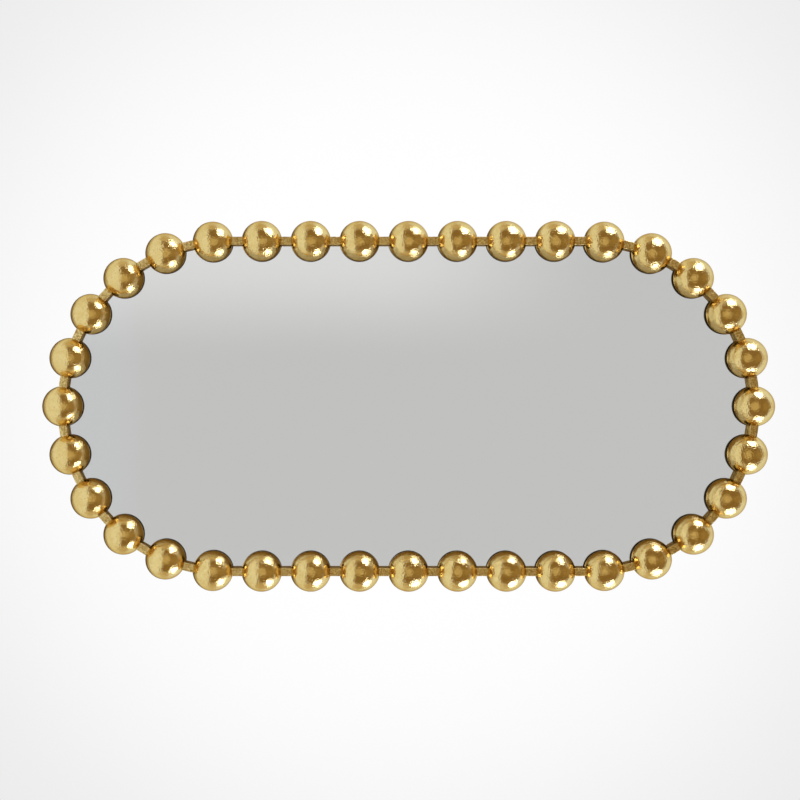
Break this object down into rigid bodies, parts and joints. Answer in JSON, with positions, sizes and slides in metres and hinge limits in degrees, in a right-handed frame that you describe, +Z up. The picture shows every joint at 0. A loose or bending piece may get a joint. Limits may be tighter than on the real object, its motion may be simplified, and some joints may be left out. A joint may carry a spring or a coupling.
{
  "type": "beaded wall mirror",
  "caption": "Pill-shaped wall mirror whose gilt frame is a square bar strung with hollow half-round beads, with D-ring hangers and rubber bumpers behind.",
  "frame": {"origin": "on the wall, behind the middle of the glass", "axes": "+Z up, +X to the right of someone facing the mirror, the glass faces -Y"},
  "size_m": [1.086, 0.055, 0.55],
  "materials": {
    "bead_gold": "satin",
    "bar_gold": "satin",
    "silvered_glass": "polished",
    "foam_tape": "matte",
    "black_board": "matte",
    "zinc_steel": "satin",
    "raw_steel": "satin",
    "rubber": "matte"
  },
  "bodies": {
    "mirror": {"bead_01": "bead_gold", "bead_02": "bead_gold", "bead_03": "bead_gold", "bead_04": "bead_gold", "bead_05": "bead_gold", "bead_06": "bead_gold", "bead_07": "bead_gold", "bead_08": "bead_gold", "bead_09": "bead_gold", "bead_10": "bead_gold", "bead_11": "bead_gold", "bead_12": "bead_gold", "bead_13": "bead_gold", "bead_14": "bead_gold", "bead_15": "bead_gold", "bead_16": "bead_gold", "bead_17": "bead_gold", "bead_18": "bead_gold", "bead_19": "bead_gold", "bead_20": "bead_gold", "bead_21": "bead_gold", "bead_22": "bead_gold", "bead_23": "bead_gold", "bead_24": "bead_gold", "bead_25": "bead_gold", "bead_26": "bead_gold", "bead_27": "bead_gold", "bead_28": "bead_gold", "bead_29": "bead_gold", "bead_30": "bead_gold", "bead_31": "bead_gold", "bead_32": "bead_gold", "bead_33": "bead_gold", "bead_34": "bead_gold", "bead_35": "bead_gold", "bead_36": "bead_gold", "bar_top": "bar_gold", "bar_bottom": "bar_gold", "bar_left_bow": "bar_gold", "bar_right_bow": "bar_gold", "splice_pins": "raw_steel", "mirror_glass": "silvered_glass", "mounting_tape": "foam_tape", "backing_board": "black_board", "retaining_lugs": "zinc_steel", "lug_screws": "zinc_steel", "hanger_screws": "zinc_steel", "hanger_strap_left": "zinc_steel", "hanger_strap_right": "zinc_steel", "bumper_left_top": "rubber", "bumper_left_bottom": "rubber", "bumper_right_top": "rubber", "bumper_right_bottom": "rubber"},
    "left_ring": {"hanging_ring_left": "zinc_steel"},
    "right_ring": {"hanging_ring_right": "zinc_steel"}
  },
  "joints": [
    {"name": "left_ring_swing", "type": "hinge", "parent": "mirror", "child": "left_ring", "pos_m": [-0.25, -0.0042, 0.15], "axis": [1, 0, 0], "range_deg": [0, 180]},
    {"name": "right_ring_swing", "type": "hinge", "parent": "mirror", "child": "right_ring", "pos_m": [0.25, -0.0042, 0.15], "axis": [1, 0, 0], "range_deg": [0, 180]}
  ]
}
